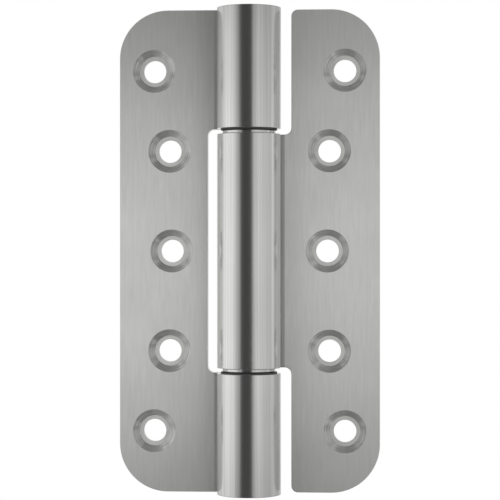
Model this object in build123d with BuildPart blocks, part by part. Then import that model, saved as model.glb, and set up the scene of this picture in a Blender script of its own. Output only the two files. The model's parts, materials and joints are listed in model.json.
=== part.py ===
from build123d import *
import os
from math import acos, asin, degrees, radians, sin, tan

# Barrel door hinge: two leaves rolled from sheet, turning on one pin, laid open flat.
# The pin axis is the Z axis and its middle is the origin. The frame leaf reaches to -X and the
# door leaf to +X. The countersunk faces look to -Y, and the backs that are let into the door and
# its frame look to +Y. All sizes are millimetres and degrees.

# Leaves and their rolled barrel
BARREL_LENGTH = 160.0
BARREL_DIAMETER = 21.0
SHEET_THICKNESS = 4.0
LEAF_REACH = 43.0  # pin axis to the outer edge of a leaf
LEAF_END_SETBACK = 0.4  # leaf ends are ground back from the barrel ends
CLOSED_GAP = 4.0  # between the two countersunk faces when the hinge is shut
SWAGE_RADIUS = 8.7  # inside of the bend that brings the leaf back to its barrel
ROLL_SEAM_GAP = 0.2  # end of the roll to the face of its own leaf
OUTER_KNUCKLE_LENGTH = 39.8
LEAF_EDGE_CLEARANCE = 3.35  # leaf edge to the barrel of the other leaf
CORNER_RADIUS = 16.0
EDGE_CORNER_RADIUS = 2.2  # corners of the leaf edge beside the barrel
EDGE_BREAK = 0.15

# Screw holes, countersunk by a cutter whose flat nose leaves a ledge round the bore
SCREW_BORE = 7.5
SCREW_LEDGE = 10.0
SCREW_SEAT = 14.2
SCREW_SEAT_ANGLE = 90.0
END_SCREW_INSET = 20.1  # end screws from the end of the leaf
SCREW_PITCH = 26.5  # end screws to the next pair, along the pin
END_SCREW_SHIFT = 3.1  # end screws outwards from the middle of the flat
PAIR_SCREW_SHIFT = -2.0
MIDDLE_SCREW_SHIFT = -2.7

# Bearings on the pin
BUSH_WALL = 1.44
BUSH_FLANGE = 0.45
THRUST_RING = 1.25
THRUST_CLEARANCE = 0.1
RING_SETBACK = 1.7  # thrust ring inside the barrel's outline
FLANGE_SETBACK = 1.2  # bush flange inside the barrel's outline
SLEEVE_LENGTH = 25.0
END_PLUG_HEIGHT = 7.0
PIN_END_CLEARANCE = 0.2
RUNNING_CLEARANCE = 0.05  # radial, pin in its bushes
PRESS_CLEARANCE = 0.01  # radial, between pieces pressed together
PIN_CHAMFER = 0.8
RING_EDGE = 0.35

# Worked out from the sizes above
BARREL_RADIUS = BARREL_DIAMETER / 2
BORE_RADIUS = BARREL_RADIUS - SHEET_THICKNESS
HALF_BARREL = BARREL_LENGTH / 2
HALF_LEAF = HALF_BARREL - LEAF_END_SETBACK
FACE_Y = CLOSED_GAP / 2
BACK_Y = FACE_Y + SHEET_THICKNESS
LEAF_EDGE = BARREL_RADIUS + LEAF_EDGE_CLEARANCE
KNUCKLE_GAP = BUSH_FLANGE + THRUST_RING + THRUST_CLEARANCE
OUTER_KNUCKLE_START = HALF_BARREL - OUTER_KNUCKLE_LENGTH
HALF_CENTRE = OUTER_KNUCKLE_START - KNUCKLE_GAP
LINER_RADIUS = BORE_RADIUS - PRESS_CLEARANCE
BUSH_BORE_RADIUS = LINER_RADIUS - BUSH_WALL
PIN_RADIUS = BUSH_BORE_RADIUS - RUNNING_CLEARANCE
RING_RADIUS = BARREL_RADIUS - RING_SETBACK
PLUG_START = HALF_BARREL - END_PLUG_HEIGHT

# The bend between leaf and barrel: it leaves the flat at BEND_START and meets the roll after BEND
WALL_RADIUS = BARREL_RADIUS - SHEET_THICKNESS / 2
BEND_RADIUS = SWAGE_RADIUS + SHEET_THICKNESS / 2
BEND = acos((BEND_RADIUS + FACE_Y + SHEET_THICKNESS / 2) / (BEND_RADIUS + WALL_RADIUS))
BEND_START = (BEND_RADIUS + WALL_RADIUS) * sin(BEND)


def rolled_section(plane):
    """Section of a leaf and its knuckle, seen along the pin, with the leaf to the left."""
    bend_centre = (-BEND_START, BACK_Y + SWAGE_RADIUS)
    roll_start = 90 + degrees(BEND)
    seam = degrees(asin((FACE_Y - ROLL_SEAM_GAP) / BARREL_RADIUS))
    roll = roll_start + 180 + seam
    with BuildSketch(plane) as section:
        with BuildLine():
            Line((-LEAF_REACH, FACE_Y), (-BEND_START, FACE_Y))
            CenterArc(bend_centre, SWAGE_RADIUS + SHEET_THICKNESS, -90, degrees(BEND))
            inner = CenterArc((0, 0), BORE_RADIUS, roll_start, -roll)
            outer = CenterArc((0, 0), BARREL_RADIUS, roll_start, -roll)
            Line(inner @ 1, outer @ 1)
            CenterArc(bend_centre, SWAGE_RADIUS, -90, degrees(BEND))
            Line((-BEND_START, BACK_Y), (-LEAF_REACH, BACK_Y))
            Line((-LEAF_REACH, BACK_Y), (-LEAF_REACH, FACE_Y))
        make_face()
    return section.sketch


def leaf_outline(plane, knuckles):
    """Front view of a leaf and the spans of its knuckles, with the leaf to the left."""
    with BuildSketch(plane) as outline:
        with Locations((-LEAF_EDGE, 0)):
            Rectangle(LEAF_REACH - LEAF_EDGE, 2 * HALF_LEAF, align=(Align.MAX, Align.CENTER))
        fillet(outline.vertices().group_by(Axis.X)[0], CORNER_RADIUS)
        for low, high in knuckles:
            neck_low = max(low, -HALF_LEAF)
            neck_high = min(high, HALF_LEAF)
            with Locations((-LEAF_EDGE, neck_low)):
                Rectangle(LEAF_EDGE, neck_high - neck_low, align=(Align.MIN, Align.MIN))
            with Locations((-BARREL_RADIUS, low)):
                Rectangle(BARREL_DIAMETER, high - low, align=(Align.MIN, Align.MIN))
        edge_corners = outline.vertices().filter_by(lambda v: abs(v.X + LEAF_EDGE) < PRESS_CLEARANCE)
        fillet(edge_corners, EDGE_CORNER_RADIUS)
    return outline.sketch


def screw_places(turn):
    """Planes of the five screw holes of a leaf, on its countersunk face."""
    middle = (LEAF_REACH + LEAF_EDGE) / 2
    end_height = HALF_LEAF - END_SCREW_INSET
    pair_height = end_height - SCREW_PITCH
    holes = [(middle + MIDDLE_SCREW_SHIFT, 0)]
    for side in (-1, 1):
        holes.append((middle + PAIR_SCREW_SHIFT, side * pair_height))
        holes.append((middle + END_SCREW_SHIFT, side * end_height))
    return [Plane(origin=(-turn * x, FACE_Y, z), z_dir=(0, -1, 0)) for x, z in holes]


def rolled_leaf(turn, knuckles):
    """One leaf rolled from sheet. It reaches to -X where turn is 1 and to +X where turn is -1."""
    along_pin = Plane(origin=(0, 0, -turn * HALF_BARREL), x_dir=(turn, 0, 0), z_dir=(0, 0, turn))
    facing = Plane(origin=(0, -BARREL_RADIUS, 0), x_dir=(turn, 0, 0), z_dir=(0, -1, 0))
    seat_depth = (SCREW_SEAT - SCREW_LEDGE) / 2 / tan(radians(SCREW_SEAT_ANGLE / 2))
    with BuildPart() as leaf:
        extrude(rolled_section(along_pin), amount=BARREL_LENGTH, dir=along_pin.z_dir)
        outline = leaf_outline(facing, knuckles)
        extrude(outline, amount=BARREL_DIAMETER, dir=-facing.z_dir, mode=Mode.INTERSECT)
        rims = leaf.faces().filter_by(Axis.Z).edges().filter_by(GeomType.CIRCLE)
        rims = rims.filter_by(lambda e: abs(e.radius - BARREL_RADIUS) < PRESS_CLEARANCE)
        flats = leaf.faces().filter_by(Axis.Y).sort_by(SortBy.AREA)[-2:]
        sides = flats.edges().filter_by(lambda e: abs(abs(e.center().X) - BEND_START) > PRESS_CLEARANCE)
        fillet(rims + sides, EDGE_BREAK)
        with Locations(*screw_places(turn)):
            Hole(SCREW_BORE / 2)
            Cone(
                SCREW_LEDGE / 2,
                SCREW_SEAT / 2,
                seat_depth,
                align=(Align.CENTER, Align.CENTER, Align.MAX),
                mode=Mode.SUBTRACT,
            )
    return leaf.part


def finish(part, name):
    """Name a finished piece and write it."""
    part.label = name
    export_step(part, f"parts/{name}.step")


def from_middle(end, height):
    """Plane at a height above or below the middle, facing the barrel's end."""
    return Plane(origin=(0, 0, end * height), x_dir=(1, 0, 0), z_dir=(0, 0, end))


os.makedirs("parts", exist_ok=True)

# Leaves
frame_knuckles = [(-HALF_BARREL, -OUTER_KNUCKLE_START), (OUTER_KNUCKLE_START, HALF_BARREL)]
door_knuckles = [(-HALF_CENTRE, HALF_CENTRE)]
finish(rolled_leaf(1, frame_knuckles), "frame_leaf")
finish(rolled_leaf(-1, door_knuckles), "door_leaf")

# Pin, gripped in the centre knuckle and turning with the door leaf
with BuildPart() as hinge_pin:
    Cylinder(PIN_RADIUS, 2 * (PLUG_START - PIN_END_CLEARANCE))
    chamfer(hinge_pin.edges().filter_by(GeomType.CIRCLE), PIN_CHAMFER)
finish(hinge_pin.part, "hinge_pin")

for end, place in ((1, "upper"), (-1, "lower")):
    # Sleeve pressed into the end of the centre knuckle
    with BuildPart() as pin_sleeve:
        with BuildSketch(from_middle(end, HALF_CENTRE)):
            Circle(LINER_RADIUS)
            Circle(PIN_RADIUS + PRESS_CLEARANCE, mode=Mode.SUBTRACT)
        extrude(amount=-SLEEVE_LENGTH)
    finish(pin_sleeve.part, f"{place}_pin_sleeve")

    # Bright ring that carries the load between the knuckles
    with BuildPart() as thrust_ring:
        with BuildSketch(from_middle(end, HALF_CENTRE)):
            Circle(RING_RADIUS)
            Circle(PIN_RADIUS + PRESS_CLEARANCE, mode=Mode.SUBTRACT)
        extrude(amount=THRUST_RING)
        outer_rims = thrust_ring.edges().filter_by(GeomType.CIRCLE).group_by(SortBy.RADIUS)[-1]
        fillet(outer_rims, RING_EDGE)
    finish(thrust_ring.part, f"{place}_thrust_ring")

    # Flanged plain bearing in the outer knuckle
    with BuildPart() as bearing_bush:
        with BuildSketch(from_middle(end, OUTER_KNUCKLE_START)):
            Circle(BARREL_RADIUS - FLANGE_SETBACK)
            Circle(BUSH_BORE_RADIUS, mode=Mode.SUBTRACT)
        extrude(amount=-BUSH_FLANGE)
        with BuildSketch(from_middle(end, OUTER_KNUCKLE_START)):
            Circle(LINER_RADIUS)
            Circle(BUSH_BORE_RADIUS, mode=Mode.SUBTRACT)
        extrude(amount=PLUG_START - OUTER_KNUCKLE_START)
    finish(bearing_bush.part, f"{place}_bearing_bush")

    # Plug that closes the end of the barrel
    with BuildPart() as end_plug:
        with BuildSketch(from_middle(end, PLUG_START)):
            Circle(LINER_RADIUS)
        extrude(amount=END_PLUG_HEIGHT)
        chamfer(end_plug.edges().group_by(Axis.Z)[-1 if end > 0 else 0], EDGE_BREAK)
    finish(end_plug.part, f"{place}_end_plug")
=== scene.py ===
# %% [markdown]
# # Barrel door hinge in brushed stainless steel
# The hinge is two leaves cut from 4 mm sheet. Each leaf is punched while it is still a flat
# blank, and its tongues are then rolled round a pin to make the knuckles of the barrel.
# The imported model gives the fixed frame: the Z axis is the pin, the countersunk faces look to -Y,
# and every object here is in metres in that frame. This lesson builds the leaves the way the
# workshop does, flat first and rolled afterwards, and then gives each surface its finish.

# %% Load the fixed frame
import json
import math

import bmesh
import bpy
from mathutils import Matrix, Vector
from mathutils.geometry import tessellate_polygon


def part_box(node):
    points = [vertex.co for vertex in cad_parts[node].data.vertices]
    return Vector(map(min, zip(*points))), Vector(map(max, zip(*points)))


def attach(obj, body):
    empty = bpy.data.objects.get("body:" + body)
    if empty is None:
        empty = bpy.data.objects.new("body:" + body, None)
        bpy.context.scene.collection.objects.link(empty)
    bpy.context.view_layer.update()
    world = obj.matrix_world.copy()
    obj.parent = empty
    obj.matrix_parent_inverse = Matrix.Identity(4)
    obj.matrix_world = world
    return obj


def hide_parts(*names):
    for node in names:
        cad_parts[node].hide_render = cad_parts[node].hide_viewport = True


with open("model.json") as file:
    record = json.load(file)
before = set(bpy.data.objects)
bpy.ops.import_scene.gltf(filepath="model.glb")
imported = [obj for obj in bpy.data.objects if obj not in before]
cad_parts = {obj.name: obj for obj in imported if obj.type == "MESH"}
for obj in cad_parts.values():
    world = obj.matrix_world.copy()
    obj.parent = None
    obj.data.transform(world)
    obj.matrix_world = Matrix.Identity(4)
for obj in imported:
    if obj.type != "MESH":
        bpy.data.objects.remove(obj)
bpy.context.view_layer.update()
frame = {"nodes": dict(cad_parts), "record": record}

print("nodes in the frame:", ", ".join(sorted(frame["nodes"])))

# %% [markdown]
# ## Sizes
# The lengths that other people rely on are read back from the frame: how far the leaves reach,
# where the knuckles end and where the screws go. Only the sheet's own sizes, which no box or
# mount gives, are written here. Reading the frame keeps the looks and the construction in step.

# %% Sizes from the frame and the sheet
MM = 0.001
SHEET = 4.0 * MM
BARREL_RADIUS = 10.5 * MM
SWAGE_RADIUS = 8.7 * MM
ROLL_SEAM_GAP = 0.2 * MM
LEAF_EDGE_CLEARANCE = 3.35 * MM
OUTER_KNUCKLE_LENGTH = 39.8 * MM
CORNER_RADIUS = 16.0 * MM
EDGE_CORNER_RADIUS = 2.2 * MM
EDGE_BREAK = 0.15 * MM

mounts = {mount["name"]: mount for mount in frame["record"]["mounts"]}
back_y = mounts["frame_back"]["pos_m"][1]
face_y = back_y - SHEET
leaf_reach = -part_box("frame_leaf")[0].x
half_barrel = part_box("frame_leaf")[1].z
half_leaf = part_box("door_leaf")[1].z
half_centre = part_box("upper_thrust_ring")[0].z
outer_start = half_barrel - OUTER_KNUCKLE_LENGTH
print(f"leaf reach {leaf_reach / MM:.1f} mm, barrel {2 * half_barrel / MM:.1f} mm long")

# %% [markdown]
# ## From flat blank to rolled leaf
# A bent sheet keeps the length of its middle layer. So the blank is drawn in two numbers: `u`,
# the distance along the middle layer, counted from where the bend begins, and `z` along the pin.
# Three stretches follow each other: the flat leaf, a short reverse bend that steps the leaf back,
# and the roll round the pin. Their angles and lengths come from the sizes above.

# %% Lengths of the bent middle layer
leaf_middle = face_y + SHEET / 2
wall_radius = BARREL_RADIUS - SHEET / 2
bend_radius = SWAGE_RADIUS + SHEET / 2
bend_angle = math.acos((bend_radius + leaf_middle) / (bend_radius + wall_radius))
bend_start = (bend_radius + wall_radius) * math.sin(bend_angle)
seam_angle = math.asin((face_y - ROLL_SEAM_GAP) / BARREL_RADIUS)
roll_angle = math.pi / 2 + bend_angle + math.pi + seam_angle
bend_length = bend_radius * bend_angle
blank_end = bend_length + wall_radius * roll_angle
print(f"bend {math.degrees(bend_angle):.1f} deg, roll {math.degrees(roll_angle):.1f} deg")
print(f"blank {(leaf_reach - bend_start + blank_end) / MM:.1f} mm wide")

# %% [markdown]
# ## Outline of the blank
# The outline is a list of corners, each with its own radius, and a short function turns every
# corner into an arc. The frame leaf has a tongue at each end for the outer knuckles. The door
# leaf has one long tongue in the middle. A list of corners is easier to change than a mesh.

# %% Corners of the two blanks
blank_outer = bend_start - leaf_reach
blank_edge = bend_start - BARREL_RADIUS - LEAF_EDGE_CLEARANCE
end_step = bend_start - BARREL_RADIUS


def both_ends(lower_half):
    """Corners of the lower half, followed by the same corners mirrored above the middle."""
    return lower_half + [(u, -z, radius) for u, z, radius in reversed(lower_half)]


frame_corners = both_ends([
    (blank_outer, -half_leaf, CORNER_RADIUS),
    (end_step, -half_leaf, 0),
    (end_step, -half_barrel, 0),
    (blank_end, -half_barrel, 0),
    (blank_end, -outer_start, 0),
    (blank_edge, -outer_start, EDGE_CORNER_RADIUS),
])
door_corners = both_ends([
    (blank_outer, -half_leaf, CORNER_RADIUS),
    (blank_edge, -half_leaf, EDGE_CORNER_RADIUS),
    (blank_edge, -half_centre, EDGE_CORNER_RADIUS),
    (blank_end, -half_centre, 0),
])
print(len(frame_corners), "corners on the frame blank,", len(door_corners), "on the door blank")

# %% Round the corners
ARC_STEPS = 24


def rounded(corners):
    """Points of a closed outline whose right-angled corners have the given radii."""
    points = []
    for index, (u, z, radius) in enumerate(corners):
        corner = Vector((u, z))
        if radius == 0:
            points.append(corner)
            continue
        before = (Vector(corners[index - 1][:2]) - corner).normalized()
        after = (Vector(corners[(index + 1) % len(corners)][:2]) - corner).normalized()
        centre = corner + (before + after) * radius
        for step in range(ARC_STEPS + 1):
            turn = step / ARC_STEPS * math.pi / 2
            points.append(centre - radius * (after * math.cos(turn) + before * math.sin(turn)))
    return points


def inset(points, distance):
    """The same outline moved inwards, square to its edges."""
    moved = []
    for index, point in enumerate(points):
        arriving = (point - points[index - 1]).normalized()
        leaving = (points[(index + 1) % len(points)] - point).normalized()
        inward = Vector((-arriving.y, arriving.x)) + Vector((-leaving.y, leaving.x))
        moved.append(point + inward * distance / (1 + arriving.dot(leaving)))
    return moved


# %% [markdown]
# ## Screw holes
# Each leaf has five holes: one in the middle, a pair further out and a pair near the ends. The
# frame's mounts give the two pairs. A hole is a plain bore, countersunk at 90 degrees for the
# screw head by a cutter whose flat nose leaves a narrow ledge round the bore. The wall of one
# hole is turned as a separate form, with the grain of the cutter running round it, and Geometry
# Nodes set it into all five places. The blank only needs round openings of the same rim.

# %% Hole sizes and places
SEAT_RADIUS = 7.1 * MM
LEDGE_RADIUS = 5.0 * MM
MIDDLE_HOLE_X = 25.725 * MM
HOLE_SEGMENTS = 96

bore_radius = mounts["frame_end_screws"]["dims"]["hole_r_mm"] * MM
end_height = mounts["frame_end_screws"]["dims"]["spacing_y_mm"] / 2 * MM
pair_height = mounts["frame_pair_screws"]["dims"]["spacing_y_mm"] / 2 * MM
end_hole_u = bend_start + mounts["frame_end_screws"]["pos_m"][0]
pair_hole_u = bend_start + mounts["frame_pair_screws"]["pos_m"][0]
middle_hole_u = bend_start - MIDDLE_HOLE_X
# At 90 degrees a countersink is as deep as it is wide on one side.
ledge_height = SEAT_RADIUS - LEDGE_RADIUS - SHEET / 2
hole_places = [(middle_hole_u, 0.0)]
for side in (-1, 1):
    hole_places.append((pair_hole_u, side * pair_height))
    hole_places.append((end_hole_u, side * end_height))
print(len(hole_places), "holes, bore", 2 * bore_radius / MM, "mm")

# %% Turned forms


def turned(name, profile, axis, closed=False, segments=HOLE_SEGMENTS):
    """A form turned about the Y or Z axis from (radius, height) points, the solid on the left.

    Its UV map runs along the profile in U and round the form in V, so U crosses the tool marks.
    """
    form = bmesh.new()
    grain = form.loops.layers.uv.new("grain")
    rings = []
    for radius, height in profile:
        ring = []
        for step in range(segments if radius else 1):
            angle = 2 * math.pi * step / segments
            side, front = radius * math.cos(angle), radius * math.sin(angle)
            place = (side, height, front) if axis == "Y" else (side, front, height)
            ring.append(form.verts.new(place))
        rings.append(ring)
    pairs = list(zip(rings, rings[1:] + rings[:1] if closed else rings[1:]))
    travelled = 0.0
    for index, (near, far) in enumerate(pairs):
        (near_r, near_h), (far_r, far_h) = profile[index], profile[(index + 1) % len(profile)]
        length = math.hypot(far_r - near_r, far_h - near_h)
        round_length = 2 * math.pi * max(near_r, far_r)
        for step in range(segments):
            ahead = step + 1
            corners = [
                (near[step % len(near)], 0, step),
                (near[ahead % len(near)], 0, ahead),
                (far[ahead % len(far)], length, ahead),
                (far[step % len(far)], length, step),
            ]
            if len(near) == 1:
                corners.pop(1)
            if len(far) == 1:
                corners.pop(2)
            if axis == "Y":
                corners.reverse()
            face = form.faces.new([corner[0] for corner in corners])
            for loop, (_, along, place) in zip(face.loops, corners):
                loop[grain].uv = (travelled + along, place / segments * round_length)
        travelled += length
    mesh = bpy.data.meshes.new(name)
    form.to_mesh(mesh)
    form.free()
    return mesh


# %% Wall of one screw hole
hole_profile = [
    (SEAT_RADIUS, -SHEET / 2),
    (LEDGE_RADIUS, ledge_height),
    (bore_radius, ledge_height),
    (bore_radius, SHEET / 2),
]
hole_wall = bpy.data.objects.new("hole_wall", turned("hole_wall", hole_profile, axis="Y"))
print("hole wall:", len(hole_wall.data.polygons), "faces")

# %% [markdown]
# ## The thick blank
# The blank is a stack of outlines: the front face, a quarter-round edge, the square side, the same
# quarter round again and the back face. An extra outline just inside each rounded edge keeps the
# shading of the wide flat faces even. Where the tongue will be rolled, the blank is cut across
# in narrow strips, because a mesh can only bend where it has edges.

# %% Build a blank
EDGE_STEPS = 4
SHADING_MARGIN = 0.15 * MM
STRIP_ANGLE = math.radians(2.5)
CREASE_START = 0.6 * MM
CUT_TOLERANCE = 1e-8


def edge_levels():
    """(inset, height) of every outline in the stack, from the front face to the back face."""
    front = [(EDGE_BREAK + SHADING_MARGIN, -SHEET / 2)]
    for step in range(EDGE_STEPS + 1):
        turn = step / EDGE_STEPS * math.pi / 2
        height = -SHEET / 2 + EDGE_BREAK * (1 - math.cos(turn))
        front.append((EDGE_BREAK * (1 - math.sin(turn)), height))
    return front + [(depth, -height) for depth, height in reversed(front)]


def hole_ring(form, place, radius, height):
    """Vertices of one round opening in a face of the blank."""
    ring = []
    for step in range(HOLE_SEGMENTS):
        angle = 2 * math.pi * step / HOLE_SEGMENTS
        u = place[0] + radius * math.cos(angle)
        z = place[1] + radius * math.sin(angle)
        ring.append(form.verts.new((u, height, z)))
    return ring


def cap(form, outline, rings, facing):
    """Fill a face of the blank and leave its openings free."""
    loops = [outline, *rings]
    verts = [vert for loop in loops for vert in loop]
    flat = [[Vector((vert.co.x, vert.co.z, 0)) for vert in loop] for loop in loops]
    for triangle in tessellate_polygon(flat):
        face = form.faces.new([verts[index] for index in triangle])
        face.normal_update()
        if face.normal.y * facing < 0:
            face.normal_flip()


def strip_lines():
    """Places along the blank where it is cut across, so that it can bend and roll."""
    bends = math.ceil(bend_angle / STRIP_ANGLE)
    rolls = math.ceil(roll_angle / STRIP_ANGLE)
    lines = [CREASE_START] + [bend_length * step / bends for step in range(bends)]
    return lines + [bend_length + (blank_end - bend_length) * step / rolls for step in range(rolls)]


def flat_blank(name, corners):
    """Thick flat blank in (u, depth, z), with open round holes and rounded edges."""
    form = bmesh.new()
    outline = rounded(corners)
    stack = []
    for depth, height in edge_levels():
        stack.append([form.verts.new((p.x, height, p.y)) for p in inset(outline, depth)])
    for near, far in zip(stack, stack[1:]):
        for index in range(len(near)):
            form.faces.new((near[index - 1], near[index], far[index], far[index - 1]))
    front = [hole_ring(form, place, SEAT_RADIUS, -SHEET / 2) for place in hole_places]
    back = [hole_ring(form, place, bore_radius, SHEET / 2) for place in hole_places]
    cap(form, stack[0], front, -1)
    cap(form, stack[-1], back, 1)
    for line in strip_lines():
        everything = form.verts[:] + form.edges[:] + form.faces[:]
        bmesh.ops.bisect_plane(
            form, geom=everything, dist=CUT_TOLERANCE, plane_co=(line, 0, 0), plane_no=(1, 0, 0)
        )
    grain = form.loops.layers.uv.new("grain")
    for face in form.faces:
        for loop in face.loops:
            u, depth, z = loop.vert.co
            loop[grain].uv = (u + depth, z + depth)
    mesh = bpy.data.meshes.new(name)
    form.to_mesh(mesh)
    form.free()
    print(f"{name}: {len(mesh.polygons)} faces, {len(strip_lines())} strips")
    return mesh


# %% [markdown]
# ## Finishes
# Steel is never one even grey. Brushing leaves fine lines of different depth, and handling leaves
# wide soft clouds. Both effects are used by several finishes, so each is a node group with its own
# inputs. The brushed lines follow the UV map called grain, where U crosses the lines and V runs
# along them, so the same group makes straight lines on a leaf and rings in a screw hole.

# %% Helpers for shader nodes


def group_tree(name, inputs, outputs):
    """An empty shader group with named number sockets. Returns the tree and its two end nodes."""
    tree = bpy.data.node_groups.new(name, "ShaderNodeTree")
    for socket, value in inputs.items():
        kind = "NodeSocketVector" if value is None else "NodeSocketFloat"
        made = tree.interface.new_socket(name=socket, in_out="INPUT", socket_type=kind)
        if value is not None:
            made.default_value = value
    for socket in outputs:
        tree.interface.new_socket(name=socket, in_out="OUTPUT", socket_type="NodeSocketFloat")
    return tree, tree.nodes.new("NodeGroupInput"), tree.nodes.new("NodeGroupOutput")


def put(tree, kind, links=None, **settings):
    """Add a node. Its settings are given by name, and links maps an input to a socket or value."""
    node = tree.nodes.new(kind)
    for name, value in settings.items():
        setattr(node, name, value)
    for key, value in (links or {}).items():
        if isinstance(value, bpy.types.NodeSocket):
            tree.links.new(value, node.inputs[key])
        else:
            node.inputs[key].default_value = value
    return node


# %% Helpers for sums, mixes and materials
# A Mix node has one set of sockets for each kind of data. These are the ones for numbers and colours.
FACTOR, NUMBER_A, NUMBER_B, COLOUR_A, COLOUR_B = 0, 2, 3, 6, 7
MIXED_COLOUR = 2


def math_node(tree, operation, *values, **settings):
    """Result of one Math node on sockets or numbers."""
    links = dict(enumerate(values))
    return put(tree, "ShaderNodeMath", links, operation=operation, **settings).outputs[0]


def mix_colours(tree, first, second, factor=1.0, blend_type="MIX"):
    """Result of one Mix node on two colours."""
    links = {FACTOR: factor, COLOUR_A: first, COLOUR_B: second}
    mix = put(tree, "ShaderNodeMix", links, data_type="RGBA", blend_type=blend_type)
    return mix.outputs[MIXED_COLOUR]


def empty_material(name):
    """A material without nodes, and its node tree."""
    material = bpy.data.materials.new(name)
    material.use_nodes = True
    material.node_tree.nodes.clear()
    return material, material.node_tree


def to_surface(tree, shader):
    """Show the result of a shader node on the surface."""
    put(tree, "ShaderNodeOutputMaterial", {"Surface": shader.outputs[0]})


# %% Group: brushed lines
LINE_DETAIL = 4.0
LINE_ROUGHNESS = 0.65
MIDDLE_TONE = 0.5

grain_tree, lines_in, lines_out = group_tree(
    "brushed_lines",
    {"Surface": None, "Across": 0.3 * MM, "Along": 30 * MM, "Contrast": 1.0},
    ["Tone"],
)
split = put(grain_tree, "ShaderNodeSeparateXYZ", {0: lines_in.outputs["Surface"]})
across = math_node(grain_tree, "DIVIDE", split.outputs["X"], lines_in.outputs["Across"])
along = math_node(grain_tree, "DIVIDE", split.outputs["Y"], lines_in.outputs["Along"])
place = put(grain_tree, "ShaderNodeCombineXYZ", {0: across, 1: along})
lines = put(
    grain_tree,
    "ShaderNodeTexNoise",
    {"Vector": place.outputs[0], "Scale": 1.0, "Detail": LINE_DETAIL, "Roughness": LINE_ROUGHNESS},
)
centred = math_node(grain_tree, "SUBTRACT", lines.outputs[0], MIDDLE_TONE)
stretched = math_node(grain_tree, "MULTIPLY", centred, lines_in.outputs["Contrast"])
tone = math_node(grain_tree, "ADD", stretched, MIDDLE_TONE, use_clamp=True)
grain_tree.links.new(tone, lines_out.inputs["Tone"])
print("group:", grain_tree.name, "with", len(grain_tree.nodes), "nodes")

# %% Group: soft clouds of handling
CLOUD_DETAIL = 2.0

cloud_tree, cloud_in, cloud_out = group_tree(
    "handling_clouds", {"Place": None, "Size": 20 * MM}, ["Cloud"]
)
per_size = math_node(cloud_tree, "DIVIDE", 1.0, cloud_in.outputs["Size"])
scaled = put(
    cloud_tree,
    "ShaderNodeVectorMath",
    {0: cloud_in.outputs["Place"], "Scale": per_size},
    operation="SCALE",
)
clouds = put(
    cloud_tree,
    "ShaderNodeTexNoise",
    {"Vector": scaled.outputs[0], "Scale": 1.0, "Detail": CLOUD_DETAIL},
)
cloud_tree.links.new(clouds.outputs[0], cloud_out.inputs["Cloud"])
print("group:", cloud_tree.name, "with", len(cloud_tree.nodes), "nodes")

# %% [markdown]
# ## Steel finishes
# One function makes every steel finish: a metal whose colour and roughness follow the brushed
# lines, with the clouds laid over them and a shallow bump. What differs is given to it: how
# fine and long the lines are, how rough the surface is, and how far the brushing stretches the
# highlights across the lines. That last number is set on the shader itself, as it is the same
# all over the piece.

# %% Make a steel finish
CLOUD_SHARE = 0.35
LINE_DEPTH = 0.02 * MM


def steel(name, light, dark, roughness, stretch, across, along, contrast, bump):
    """A brushed or turned steel. Colours are linear, lengths are in metres."""
    material, tree = empty_material(name)
    surface = put(tree, "ShaderNodeUVMap", uv_map="grain")
    body = put(tree, "ShaderNodeTexCoord")
    lines = put(
        tree,
        "ShaderNodeGroup",
        {"Surface": surface.outputs["UV"], "Across": across, "Along": along, "Contrast": contrast},
        node_tree=grain_tree,
    ).outputs["Tone"]
    cloud = put(
        tree, "ShaderNodeGroup", {"Place": body.outputs["Object"]}, node_tree=cloud_tree
    ).outputs["Cloud"]
    mixed = put(
        tree,
        "ShaderNodeMix",
        {FACTOR: CLOUD_SHARE, NUMBER_A: lines, NUMBER_B: cloud},
        data_type="FLOAT",
    ).outputs[0]
    rough = put(
        tree,
        "ShaderNodeMapRange",
        {"Value": mixed, "To Min": roughness[1], "To Max": roughness[0]},
    )
    relief = put(tree, "ShaderNodeBump", {"Height": lines, "Strength": bump, "Distance": LINE_DEPTH})
    across_lines = put(tree, "ShaderNodeTangent", direction_type="UV_MAP", uv_map="grain")
    metal = put(
        tree,
        "ShaderNodeBsdfPrincipled",
        {
            "Base Color": mix_colours(tree, (*dark, 1), (*light, 1), factor=mixed),
            "Roughness": rough.outputs[0],
            "Metallic": 1.0,
            "Anisotropic": stretch,
            "Normal": relief.outputs[0],
            "Tangent": across_lines.outputs[0],
        },
    )
    to_surface(tree, metal)
    print("finish:", name)
    return material


# %% [markdown]
# The leaves are brushed along the pin with a coarse belt. The barrel is ground and much
# smoother, so it shows the room as long stripes. The crease between leaf and barrel gets a
# darker, rougher steel: painted shade for the shadow there. The countersinks keep the rings of their
# cutter.

# %% Leaf, barrel and crease
LIGHT_STEEL = (0.88, 0.88, 0.865)
DARK_STEEL = (0.68, 0.68, 0.665)
leaf_finish = steel(
    "leaf_brushed",
    LIGHT_STEEL,
    DARK_STEEL,
    roughness=(0.3, 0.38),
    stretch=0.8,
    across=0.9 * MM,
    along=12 * MM,
    contrast=1.4,
    bump=0.15,
)
barrel_finish = steel(
    "barrel_ground",
    LIGHT_STEEL,
    DARK_STEEL,
    roughness=(0.16, 0.22),
    stretch=0.6,
    across=0.9 * MM,
    along=200 * MM,
    contrast=3.5,
    bump=0.03,
)
# Painted shade: the crease finish's darker colours stand in for the shadow where leaf meets barrel.
crease_shade_finish = steel(
    "crease_dull",
    (0.64, 0.64, 0.63),
    (0.47, 0.47, 0.46),
    roughness=(0.45, 0.6),
    stretch=0.3,
    across=0.5 * MM,
    along=25 * MM,
    contrast=1.5,
    bump=0.1,
)

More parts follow.
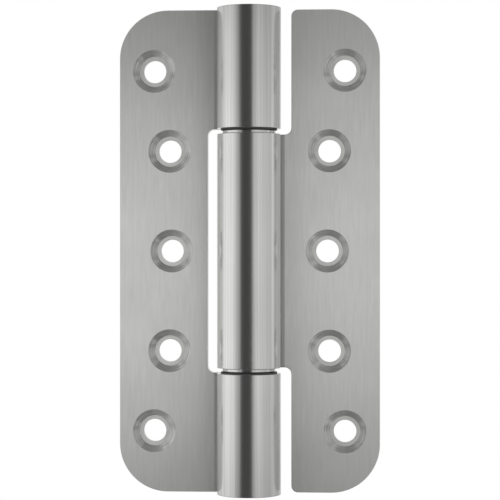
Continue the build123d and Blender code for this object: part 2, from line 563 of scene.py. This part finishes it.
# %% Screw seats, rings and plugs
seat_finish = steel(
    "seat_turned",
    (0.97, 0.97, 0.96),
    (0.44, 0.44, 0.43),
    roughness=(0.24, 0.38),
    stretch=0.95,
    across=0.6 * MM,
    along=12 * MM,
    contrast=3.0,
    bump=0.12,
)
ledge_finish = steel(
    "ledge_turned",
    LIGHT_STEEL,
    DARK_STEEL,
    roughness=(0.36, 0.46),
    stretch=0.5,
    across=0.3 * MM,
    along=14 * MM,
    contrast=4.0,
    bump=0.2,
)
ring_finish = steel(
    "ring_turned",
    LIGHT_STEEL,
    DARK_STEEL,
    roughness=(0.16, 0.24),
    stretch=0.5,
    across=0.2 * MM,
    along=20 * MM,
    contrast=1.4,
    bump=0.04,
)
plug_finish = steel(
    "plug_turned",
    LIGHT_STEEL,
    DARK_STEEL,
    roughness=(0.24, 0.34),
    stretch=0.6,
    across=0.3 * MM,
    along=20 * MM,
    contrast=1.6,
    bump=0.08,
)

# %% [markdown]
# ## Punch and roll with Geometry Nodes
# The tree takes the flat blank, sets the hole wall into five places, welds the rims and then moves
# every point from the flat to its place on the bent sheet. The formulas of the bend are written
# as sums and products of fields, and a small class turns each of them into a Math node.

# %% Numbers that change over the sheet


class Field:
    """A socket that can be added, multiplied and so on. Each step adds one Math node."""

    def __init__(self, tree, socket):
        self.tree = tree
        self.socket = socket

    def maths(self, operation, *others):
        values = [other.socket if isinstance(other, Field) else other for other in others]
        return Field(self.tree, math_node(self.tree, operation, self.socket, *values))

    def __add__(self, other):
        return self.maths("ADD", other)

    def __sub__(self, other):
        return self.maths("SUBTRACT", other)

    def __mul__(self, other):
        return self.maths("MULTIPLY", other)

    def __truediv__(self, other):
        return self.maths("DIVIDE", other)


# %% Inputs of the tree
CREASE_DEPTH = -1.0 * MM

roll_tree = bpy.data.node_groups.new("punch_and_roll", "GeometryNodeTree")
roll_inputs = {
    "Crease Start": CREASE_START,
    "Crease Depth": CREASE_DEPTH,
    "Bend Radius": bend_radius,
    "Bend Angle": bend_angle,
    "Bend Start": bend_start,
    "Wall Radius": wall_radius,
    "Leaf Middle": leaf_middle,
    "Middle Hole": middle_hole_u,
    "Pair Hole": pair_hole_u,
    "End Hole": end_hole_u,
    "Pair Height": pair_height,
    "End Height": end_height,
    "Turn": 1.0,
}
identifiers = {}
roll_tree.interface.new_socket(name="Blank", in_out="INPUT", socket_type="NodeSocketGeometry")
identifiers["Hole Wall"] = roll_tree.interface.new_socket(
    name="Hole Wall", in_out="INPUT", socket_type="NodeSocketObject"
).identifier
for finish_name in ("Barrel Finish", "Crease Finish"):
    identifiers[finish_name] = roll_tree.interface.new_socket(
        name=finish_name, in_out="INPUT", socket_type="NodeSocketMaterial"
    ).identifier
for size_name in roll_inputs:
    identifiers[size_name] = roll_tree.interface.new_socket(
        name=size_name, in_out="INPUT", socket_type="NodeSocketFloat"
    ).identifier
roll_tree.interface.new_socket(name="Leaf", in_out="OUTPUT", socket_type="NodeSocketGeometry")
given = roll_tree.nodes.new("NodeGroupInput")
size = {name: Field(roll_tree, given.outputs[name]) for name in roll_inputs}
print("tree inputs:", ", ".join(identifiers))

# %% Five hole places
HOLES_PER_LEAF = 5
points = put(roll_tree, "GeometryNodeMeshLine", {"Count": HOLES_PER_LEAF})
counted = Field(roll_tree, put(roll_tree, "GeometryNodeInputIndex").outputs[0])
order = counted - (HOLES_PER_LEAF - 1) / 2
rank = order.maths("ABSOLUTE")


def by_rank(middle, pair, end):
    """The value for the middle hole, the next pair or the end pair."""
    node = put(roll_tree, "GeometryNodeIndexSwitch", {0: rank.socket}, data_type="FLOAT")
    node.index_switch_items.new()
    for index, value in enumerate((middle, pair, end), start=1):
        if isinstance(value, Field):
            roll_tree.links.new(value.socket, node.inputs[index])
    return Field(roll_tree, node.outputs[0])


hole_u = by_rank(size["Middle Hole"], size["Pair Hole"], size["End Hole"])
hole_z = by_rank(0.0, size["Pair Height"], size["End Height"]) * order.maths("SIGN")
hole_place = put(roll_tree, "ShaderNodeCombineXYZ", {"X": hole_u.socket, "Z": hole_z.socket})
placed = put(
    roll_tree,
    "GeometryNodeSetPosition",
    {"Geometry": points.outputs[0], "Position": hole_place.outputs[0]},
)
wall = put(roll_tree, "GeometryNodeObjectInfo", {"Object": given.outputs["Hole Wall"]})
walls = put(
    roll_tree,
    "GeometryNodeInstanceOnPoints",
    {"Points": placed.outputs[0], "Instance": wall.outputs["Geometry"]},
)
real_walls = put(roll_tree, "GeometryNodeRealizeInstances", {0: walls.outputs[0]})
print("hole walls set into", HOLES_PER_LEAF, "places")

# %% Weld the hole walls to the blank
WELD = 0.002 * MM
joined = put(roll_tree, "GeometryNodeJoinGeometry")
roll_tree.links.new(real_walls.outputs[0], joined.inputs[0])
roll_tree.links.new(given.outputs["Blank"], joined.inputs[0])
welded = put(
    roll_tree, "GeometryNodeMergeByDistance", {"Geometry": joined.outputs[0], "Distance": WELD}
)
print(f"rims welded within {WELD / MM:.3f} mm")

# %% Roll the sheet
position = put(roll_tree, "GeometryNodeInputPosition")
flat_place = put(roll_tree, "ShaderNodeSeparateXYZ", {0: position.outputs[0]})
u, depth, z = (Field(roll_tree, socket) for socket in flat_place.outputs)

bend = (u / size["Bend Radius"]).maths("MAXIMUM", 0.0).maths("MINIMUM", size["Bend Angle"])
arm = size["Bend Radius"] - depth
leaf_x = u.maths("MINIMUM", 0.0) - size["Bend Start"] + arm * bend.maths("SINE")
leaf_y = size["Leaf Middle"] + size["Bend Radius"] - arm * bend.maths("COSINE")

past_bend = u - size["Bend Radius"] * size["Bend Angle"]
polar = size["Bend Angle"] + math.pi / 2 - past_bend / size["Wall Radius"]
spoke = size["Wall Radius"] + depth
roll_x = spoke * polar.maths("COSINE")
roll_y = spoke * polar.maths("SINE")

rolled = past_bend.maths("GREATER_THAN", 0.0)
new_x = leaf_x + rolled * (roll_x - leaf_x)
new_y = leaf_y + rolled * (roll_y - leaf_y)
new_place = put(
    roll_tree,
    "ShaderNodeCombineXYZ",
    {"X": (new_x * size["Turn"]).socket, "Y": new_y.socket, "Z": (z * size["Turn"]).socket},
)
# The crease mask picks the faces that get painted shade: darker steel for the shadow between leaf and
# barrel.
past_crease_start = u.maths("GREATER_THAN", size["Crease Start"])
in_crease_shade = past_crease_start * depth.maths("LESS_THAN", size["Crease Depth"])
zones = put(
    roll_tree, "GeometryNodeCaptureAttribute", {"Geometry": welded.outputs[0]}, domain="FACE"
)
zones.capture_items.new("BOOLEAN", "Barrel")
zones.capture_items.new("BOOLEAN", "Crease")
roll_tree.links.new(rolled.socket, zones.inputs[1])
roll_tree.links.new(in_crease_shade.socket, zones.inputs[2])
shaped = put(
    roll_tree,
    "GeometryNodeSetPosition",
    {"Geometry": zones.outputs[0], "Position": new_place.outputs[0]},
)
print("zones on the sheet:", ", ".join(item.name for item in zones.capture_items))

# %% Finish of the rolled part
realized = put(roll_tree, "GeometryNodeRealizeInstances", {0: shaped.outputs[0]})
crease = put(
    roll_tree,
    "GeometryNodeSetMaterial",
    {
        "Geometry": realized.outputs[0],
        "Selection": zones.outputs[2],
        "Material": given.outputs["Crease Finish"],
    },
)
barrel = put(
    roll_tree,
    "GeometryNodeSetMaterial",
    {
        "Geometry": crease.outputs[0],
        "Selection": zones.outputs[1],
        "Material": given.outputs["Barrel Finish"],
    },
)
leaf_result = roll_tree.nodes.new("NodeGroupOutput")
roll_tree.links.new(barrel.outputs[0], leaf_result.inputs["Leaf"])
print("punch_and_roll:", len(roll_tree.nodes), "nodes")

# %% [markdown]
# ## The two leaves
# Both leaves come from the same tree. The door leaf is turned half round by the input called Turn,
# which swaps the signs of X and Z together, so its faces still point outwards. The evaluated
# result becomes a plain mesh, and edges sharper than a limit are marked so that rims stay crisp.

# %% Roll both leaves
SHARP_ANGLE = math.radians(30)


def add_piece(name, mesh):
    """Put a finished mesh into the scene as an object of its own."""
    piece = bpy.data.objects.new(name, mesh)
    bpy.context.scene.collection.objects.link(piece)
    return piece


def rolled_leaf(name, corners, turn):
    """One leaf: flat blank, modifier, evaluated mesh."""
    piece = add_piece(name, flat_blank(name + "_blank", corners))
    piece.data.materials.append(leaf_finish)
    modifier = piece.modifiers.new("punch_and_roll", "NODES")
    modifier.node_group = roll_tree
    values = {**roll_inputs, "Turn": turn, "Hole Wall": hole_wall}
    values["Barrel Finish"] = barrel_finish
    values["Crease Finish"] = crease_shade_finish
    for socket, value in values.items():
        modifier[identifiers[socket]] = value
    evaluated = piece.evaluated_get(bpy.context.evaluated_depsgraph_get())
    mesh = bpy.data.meshes.new_from_object(evaluated)
    piece.modifiers.clear()
    piece.data = mesh
    mesh.name = name
    mesh.shade_smooth()
    mesh.set_sharp_from_angle(angle=SHARP_ANGLE)
    print(f"{name}: {len(mesh.polygons)} faces, finishes {[m.name for m in mesh.materials]}")
    return piece


for finish in (seat_finish, ledge_finish, seat_finish):
    hole_wall.data.materials.append(finish)
for index, polygon in enumerate(hole_wall.data.polygons):
    polygon.material_index = index // HOLE_SEGMENTS
frame_piece = rolled_leaf("frame_leaf_rolled", frame_corners, 1.0)
door_piece = rolled_leaf("door_leaf_rolled", door_corners, -1.0)
for piece, node, body in (
    (frame_piece, "frame_leaf", "frame_side"),
    (door_piece, "door_leaf", "door_side"),
):
    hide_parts(node)
    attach(piece, body)

# %% [markdown]
# ## Thrust rings and end plugs
# A bright ring carries the door between two knuckles, and a plug closes each end of the barrel.
# Both are turned on a lathe, so both are made by the same turning function as the screw holes,
# with their places read from the frame.

# %% Turn the rings and the plugs
RING_EDGE = 0.35 * MM
RING_BORE = 5.01 * MM
PLUG_RADIUS = 6.49 * MM
TURNED_SEGMENTS = 128


def thrust_ring_profile(low, high, radius):
    """Section of a flat ring with a small round on its outer edges."""
    points = [(RING_BORE, low)]
    for centre, start in ((low + RING_EDGE, -math.pi / 2), (high - RING_EDGE, 0.0)):
        for step in range(EDGE_STEPS + 1):
            angle = start + step / EDGE_STEPS * math.pi / 2
            out = radius - RING_EDGE + RING_EDGE * math.cos(angle)
            points.append((out, centre + RING_EDGE * math.sin(angle)))
    return points + [(RING_BORE, high)]


def plug_profile(low, high, end):
    """Section of a plug, from its axis round to its axis, chamfered on the end that shows."""
    upper = EDGE_BREAK if end > 0 else 0
    lower = EDGE_BREAK if end < 0 else 0
    return [
        (0, low),
        (PLUG_RADIUS - lower, low),
        (PLUG_RADIUS, low + lower),
        (PLUG_RADIUS, high - upper),
        (PLUG_RADIUS - upper, high),
        (0, high),
    ]


def without_repeats(profile):
    """A profile with points that coincide taken once."""
    return [p for i, p in enumerate(profile) if i == 0 or math.dist(p, profile[i - 1]) > WELD]


for end, place_name in ((1, "upper"), (-1, "lower")):
    low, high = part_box(f"{place_name}_thrust_ring")
    ring_profile = thrust_ring_profile(low.z, high.z, high.x)
    ring_mesh = turned("ring", ring_profile, axis="Z", closed=True, segments=TURNED_SEGMENTS)
    ring = add_piece(f"{place_name}_ring_turned", ring_mesh)
    low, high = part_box(f"{place_name}_end_plug")
    end_profile = without_repeats(plug_profile(low.z, high.z, end))
    plug_mesh = turned("plug", end_profile, axis="Z", segments=TURNED_SEGMENTS)
    plug = add_piece(f"{place_name}_plug_turned", plug_mesh)
    for piece, finish, node, body, slot in (
        (ring, ring_finish, "thrust_ring", "door_side", "ring_steel"),
        (plug, plug_finish, "end_plug", "frame_side", "plug_steel"),
    ):
        piece.data.materials.append(finish)
        piece.data.shade_smooth()
        piece.data.set_sharp_from_angle(angle=SHARP_ANGLE)
        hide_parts(f"{place_name}_{node}")
        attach(piece, body)
        print(f"{piece.name}: {len(piece.data.polygons)} faces")

# %% [markdown]
# ## Pieces that stay as they are
# The pin, its sleeves and the bearing bushes sit inside the barrel. Their shapes in the frame are
# right, so they keep them and only get a finish. These meshes have no UV map, so their patterns
# read Object coordinates: fine rings for the ground steel, a slight mottle for the plastic.

# %% Ground steel of the pin and black bearing plastic
MARK_SIZE = 2 * MM
MARK_SHADE = 0.75
MARK_STRENGTH = 0.05
MARK_DEPTH = 0.05 * MM


def inner_finish(name, colour, metallic, roughness, stretch):
    """A finish on Object coordinates, with marks stretched or squeezed along the pin."""
    material, tree = empty_material(name)
    body = put(tree, "ShaderNodeTexCoord")
    squeezed = put(
        tree, "ShaderNodeMapping", {"Vector": body.outputs["Object"], "Scale": (1, 1, stretch)}
    )
    marks = put(
        tree,
        "ShaderNodeGroup",
        {"Place": squeezed.outputs[0], "Size": MARK_SIZE},
        node_tree=cloud_tree,
    ).outputs["Cloud"]
    dark = tuple(MARK_SHADE * part for part in colour)
    rough = put(
        tree,
        "ShaderNodeMapRange",
        {"Value": marks, "To Min": roughness[0], "To Max": roughness[1]},
    )
    relief = put(
        tree,
        "ShaderNodeBump",
        {"Height": marks, "Strength": MARK_STRENGTH, "Distance": MARK_DEPTH},
    )
    shader = put(
        tree,
        "ShaderNodeBsdfPrincipled",
        {
            "Base Color": mix_colours(tree, (*dark, 1), (*colour, 1), factor=marks),
            "Roughness": rough.outputs[0],
            "Metallic": metallic,
            "Normal": relief.outputs[0],
        },
    )
    to_surface(tree, shader)
    return material


pin_finish = inner_finish("pin_ground", (0.58, 0.58, 0.57), 1.0, (0.18, 0.3), 12.0)
bush_finish = inner_finish("bush_black_plastic", (0.07, 0.07, 0.071), 0.0, (0.45, 0.6), 1.0)
inner_nodes = {"hinge_pin": pin_finish}
for place_name in ("upper", "lower"):
    inner_nodes[f"{place_name}_pin_sleeve"] = pin_finish
    inner_nodes[f"{place_name}_bearing_bush"] = bush_finish
for node, finish in inner_nodes.items():
    frame["nodes"][node].data.materials[0] = finish
print("inner pieces finished:", ", ".join(inner_nodes))

# %% [markdown]
# ## Light tent
# Polished steel shows its surroundings, so the surroundings are what gets designed. The hinge hangs
# in a small round tent: a bright wall on the left with a soft edge, a window of light on the
# camera's side, an even grey wall on the right and pale cloth behind. The window hangs a little
# askew, lower on the left, so the two leaves are brightest at different heights. Two belts of
# light, one high and one low, keep the metal bright when it is seen from above or below. The tent
# is a stage piece that cameras don't see. Its brightness is written in stops: (azimuth, level)
# round the wall, where azimuth 0 is the camera's side and positive angles go towards +X,
# (height, level) up and down the wall, and (elevation, level) for the belts.

# %% Levels of the tent
TENT_RADIUS = 0.3
TENT_HEIGHT = 0.24
TENT_LEVEL = 0.95
TENT_MIDDLE = -6 * MM
WALL_STOPS = [
    (-90, 0.96),
    (-79, 0.98),
    (-67, 0.95),
    (-52, 0.94),
    (-45, 0.6),
    (-38, 0.45),
    (-32, 0.4),
    (-25, 0.0),
    (10, 0.0),
    (14, 0.45),
    (25, 0.65),
    (36, 0.75),
    (50, 0.7),
    (71, 0.6),
    (89, 0.57),
    (93, 0.8),
    (103, 0.8),
    (109, 0.68),
    (140, 0.68),
    (152, 0.95),
    (204, 0.95),
    (214, 0.6),
    (222, 0.93),
    (270, 0.96),
]
WALL_BAND = [(0.0, 1.0), (0.06, 0.98), (0.11, 0.8), (0.16, 0.45), (0.2, 0.2), (0.24, 0.15)]
WINDOW_STOPS = [(-90, 0.0), (-36, 0.0), (-25, 0.84), (-6, 0.92), (6, 0.97), (13, 0.0), (270, 0.0)]
WINDOW_BAND = [(0.0, 0.95), (0.04, 0.89), (0.08, 0.66), (0.12, 0.34), (0.16, 0.08), (0.24, 0.0)]
WINDOW_MIDDLE = 6 * MM
WINDOW_SLOPE = 0.25
BELT_STOPS = [(0, 0.0), (27, 0.0), (33, 0.6), (41, 0.65), (48, 0.15), (65, 0.15), (90, 0.15)]
print(len(WALL_STOPS), "stops round the wall,", len(WINDOW_STOPS), "for the window")


# %% Tent cloth


def ramp(tree, stops, factor):
    """Result of a colour ramp of grey levels at positions from 0 to 1."""
    node = put(tree, "ShaderNodeValToRGB", {0: factor})
    elements = node.color_ramp.elements
    while len(elements) < len(stops):
        elements.new(0.5)
    for element, (place, level) in zip(elements, stops):
        element.position = place
        element.color = (level, level, level, 1)
    return node.outputs[0]


def distance_from_axis(tree, place):
    """How far a place is from the axis of the pin."""
    flat = put(tree, "ShaderNodeVectorMath", {0: place, 1: (1, 1, 0)}, operation="MULTIPLY")
    return put(tree, "ShaderNodeVectorMath", {0: flat.outputs[0]}, operation="LENGTH").outputs["Value"]


def lit_zone(tree, around, height, stops, band):
    """Brightness that follows one set of stops round the wall and another up the wall."""
    turned_stops = [(azimuth / 360 + 0.25, level) for azimuth, level in stops]
    round_wall = ramp(tree, turned_stops, around)
    up_wall = ramp(tree, band, height)
    return mix_colours(tree, round_wall, up_wall, blend_type="MULTIPLY")


def tent_material():
    """Light cloth: the walls, with the window and the two belts of light added to them."""
    material, tree = empty_material("tent_cloth")
    place = put(tree, "ShaderNodeTexCoord").outputs["Object"]
    around = put(tree, "ShaderNodeTexGradient", {0: place}, gradient_type="RADIAL").outputs[1]
    split = put(tree, "ShaderNodeSeparateXYZ", {0: place})
    above_middle = math_node(tree, "SUBTRACT", split.outputs["Z"], TENT_MIDDLE)
    height = math_node(tree, "ABSOLUTE", above_middle)
    walls = lit_zone(tree, around, height, WALL_STOPS, WALL_BAND)
    slope = math_node(tree, "MULTIPLY_ADD", split.outputs["X"], WINDOW_SLOPE, WINDOW_MIDDLE)
    above_slope = math_node(tree, "SUBTRACT", split.outputs["Z"], slope)
    window_height = math_node(tree, "ABSOLUTE", above_slope)
    window = lit_zone(tree, around, window_height, WINDOW_STOPS, WINDOW_BAND)
    rise = math_node(tree, "ARCTAN2", height, distance_from_axis(tree, place))
    quarter_turn = math_node(tree, "DIVIDE", rise, math.pi / 2)
    belts = ramp(tree, [(elevation / 90, level) for elevation, level in BELT_STOPS], quarter_turn)
    sides = mix_colours(tree, walls, window, blend_type="ADD")
    glow = mix_colours(tree, sides, belts, blend_type="ADD")
    light = put(tree, "ShaderNodeEmission", {"Color": glow, "Strength": TENT_LEVEL})
    to_surface(tree, light)
    return material


# %% Hang the tent
tent_profile = [
    (0, -TENT_HEIGHT),
    (TENT_RADIUS, -TENT_HEIGHT),
    (TENT_RADIUS, TENT_HEIGHT),
    (0, TENT_HEIGHT),
]
tent = add_piece("light_tent", turned("tent", tent_profile, axis="Z"))
tent.data.materials.append(tent_material())
tent.visible_camera = False
tent.visible_shadow = False
tent.visible_diffuse = False
print("tent:", len(tent.data.polygons), "faces")

# %% [markdown]
# ## Dark card
# The dark stripe down the barrel is the picture of something dark close in front of it. A narrow
# card does that: the curved barrel shows it whole, while the flat leaves look past it
# to the window and stay bright. Its left edge thins out, so the stripe is soft on that side.

# %% Hang the card
CARD_FRONT = -30 * MM
CARD_LEFT = -17 * MM
CARD_RIGHT = 7 * MM
CARD_FADE = 6 * MM
CARD_HALF_HEIGHT = 105 * MM
CARD_LEVEL = 0.05
WHITE = (1, 1, 1, 1)


def card_material():
    """Dark cloth that thins out towards its left edge."""
    material, tree = empty_material("card_dark")
    place = put(tree, "ShaderNodeTexCoord")
    split = put(tree, "ShaderNodeSeparateXYZ", {0: place.outputs["Object"]})
    cover = put(
        tree,
        "ShaderNodeMapRange",
        {"Value": split.outputs["X"], "From Min": CARD_LEFT, "From Max": CARD_LEFT + CARD_FADE},
    )
    clear = put(tree, "ShaderNodeBsdfTransparent")
    dark = put(tree, "ShaderNodeEmission", {"Color": WHITE, "Strength": CARD_LEVEL})
    links = {0: cover.outputs[0], 1: clear.outputs[0], 2: dark.outputs[0]}
    to_surface(tree, put(tree, "ShaderNodeMixShader", links))
    return material


card_corners = [
    (CARD_LEFT, CARD_FRONT, -CARD_HALF_HEIGHT),
    (CARD_RIGHT, CARD_FRONT, -CARD_HALF_HEIGHT),
    (CARD_RIGHT, CARD_FRONT, CARD_HALF_HEIGHT),
    (CARD_LEFT, CARD_FRONT, CARD_HALF_HEIGHT),
]
card_mesh = bpy.data.meshes.new("card")
card_mesh.from_pydata(card_corners, [], [(0, 1, 2, 3)])
card = add_piece("dark_card", card_mesh)
card.data.materials.append(card_material())
card.visible_camera = False
card.visible_shadow = False
card.visible_diffuse = False
print(f"card: {(CARD_RIGHT - CARD_LEFT) / MM:.0f} mm wide")

# %% [markdown]
# ## Floor and world
# The photograph shows the hinge on pure white. A pale floor lies well below it, out of the picture
# from the front, and fades into the white world at its rim, so there is no horizon from any side.
# The world is white for what the camera and the metal see, and a soft light for everything else.

# %% Floor
FLOOR_Z = -0.25
FLOOR_RADIUS = 1.15
FLOOR_FADE = (0.35, 1.05)
FLOOR_PAINT = (0.88, 0.88, 0.87, 1)


def floor_material():
    """Pale floor that keeps shadows near the hinge and fades to white at its rim."""
    material, tree = empty_material("floor_pale")
    place = put(tree, "ShaderNodeTexCoord")
    reach = distance_from_axis(tree, place.outputs["Object"])
    fade = put(
        tree,
        "ShaderNodeMapRange",
        {"Value": reach, "From Min": FLOOR_FADE[0], "From Max": FLOOR_FADE[1]},
        interpolation_type="SMOOTHSTEP",
    )
    paint = put(tree, "ShaderNodeBsdfDiffuse", {"Color": FLOOR_PAINT})
    white = put(tree, "ShaderNodeEmission", {"Color": WHITE, "Strength": 1.0})
    links = {0: fade.outputs[0], 1: paint.outputs[0], 2: white.outputs[0]}
    to_surface(tree, put(tree, "ShaderNodeMixShader", links))
    return material


floor_mesh = turned("floor", [(0, FLOOR_Z), (FLOOR_RADIUS, FLOOR_Z)], axis="Z")
floor = add_piece("floor", floor_mesh)
floor.data.materials.append(floor_material())
floor.visible_glossy = False
print(f"floor {-FLOOR_Z / MM:.0f} mm below the middle of the hinge")

# %% World
SOFT_LEVEL = 0.95


def white_world():
    """White to the camera, to reflections and through glass, and a soft grey light otherwise."""
    world = bpy.data.worlds.new("studio")
    world.use_nodes = True
    tree = world.node_tree
    tree.nodes.clear()
    ray = put(tree, "ShaderNodeLightPath")
    seen = math_node(tree, "MAXIMUM", ray.outputs["Is Camera Ray"], ray.outputs["Is Glossy Ray"])
    clear = math_node(tree, "MAXIMUM", seen, ray.outputs["Is Transmission Ray"])
    soft = put(tree, "ShaderNodeBackground", {"Color": WHITE, "Strength": SOFT_LEVEL})
    white = put(tree, "ShaderNodeBackground", {"Color": WHITE, "Strength": 1.0})
    blend = put(tree, "ShaderNodeMixShader", {0: clear, 1: soft.outputs[0], 2: white.outputs[0]})
    put(tree, "ShaderNodeOutputWorld", {"Surface": blend.outputs[0]})
    return world


bpy.context.scene.world = white_world()
print("world:", bpy.context.scene.world.name)

# %% [markdown]
# ## Camera
# The photograph looks straight at the barrel from its own height, with a long lens, a few degrees
# from the door leaf's side. The lens comes from the scale of the barrel in the picture: so
# many pixels for each millimetre at a distance of about four hinge lengths.

# %% Place the camera
SENSOR_MM = 36.0
PICTURE_PIXELS = 500
CAMERA_DISTANCE = 620 * MM
CAMERA_AZIMUTH = math.radians(3.5)
PIXELS_PER_MM = 3.039
BARREL_PIXEL = (249.0, 251.0)

camera_data = bpy.data.cameras.new("camera")
camera_data.sensor_width = SENSOR_MM
camera_data.lens = SENSOR_MM * PIXELS_PER_MM * (CAMERA_DISTANCE / MM) / PICTURE_PIXELS
camera = bpy.data.objects.new("camera", camera_data)
bpy.context.scene.collection.objects.link(camera)
rightwards = Vector((math.cos(CAMERA_AZIMUTH), math.sin(CAMERA_AZIMUTH), 0))
backwards = Vector((math.sin(CAMERA_AZIMUTH), -math.cos(CAMERA_AZIMUTH), 0))
aim_right = (PICTURE_PIXELS / 2 - BARREL_PIXEL[0]) / PIXELS_PER_MM * MM
aim_up = (BARREL_PIXEL[1] - PICTURE_PIXELS / 2) / PIXELS_PER_MM * MM
camera.location = backwards * CAMERA_DISTANCE + rightwards * aim_right + Vector((0, 0, aim_up))
camera.rotation_euler = (math.pi / 2, 0, CAMERA_AZIMUTH)
bpy.context.scene.camera = camera
bpy.context.scene.view_settings.view_transform = "Standard"
print(f"lens {camera_data.lens:.1f} mm")
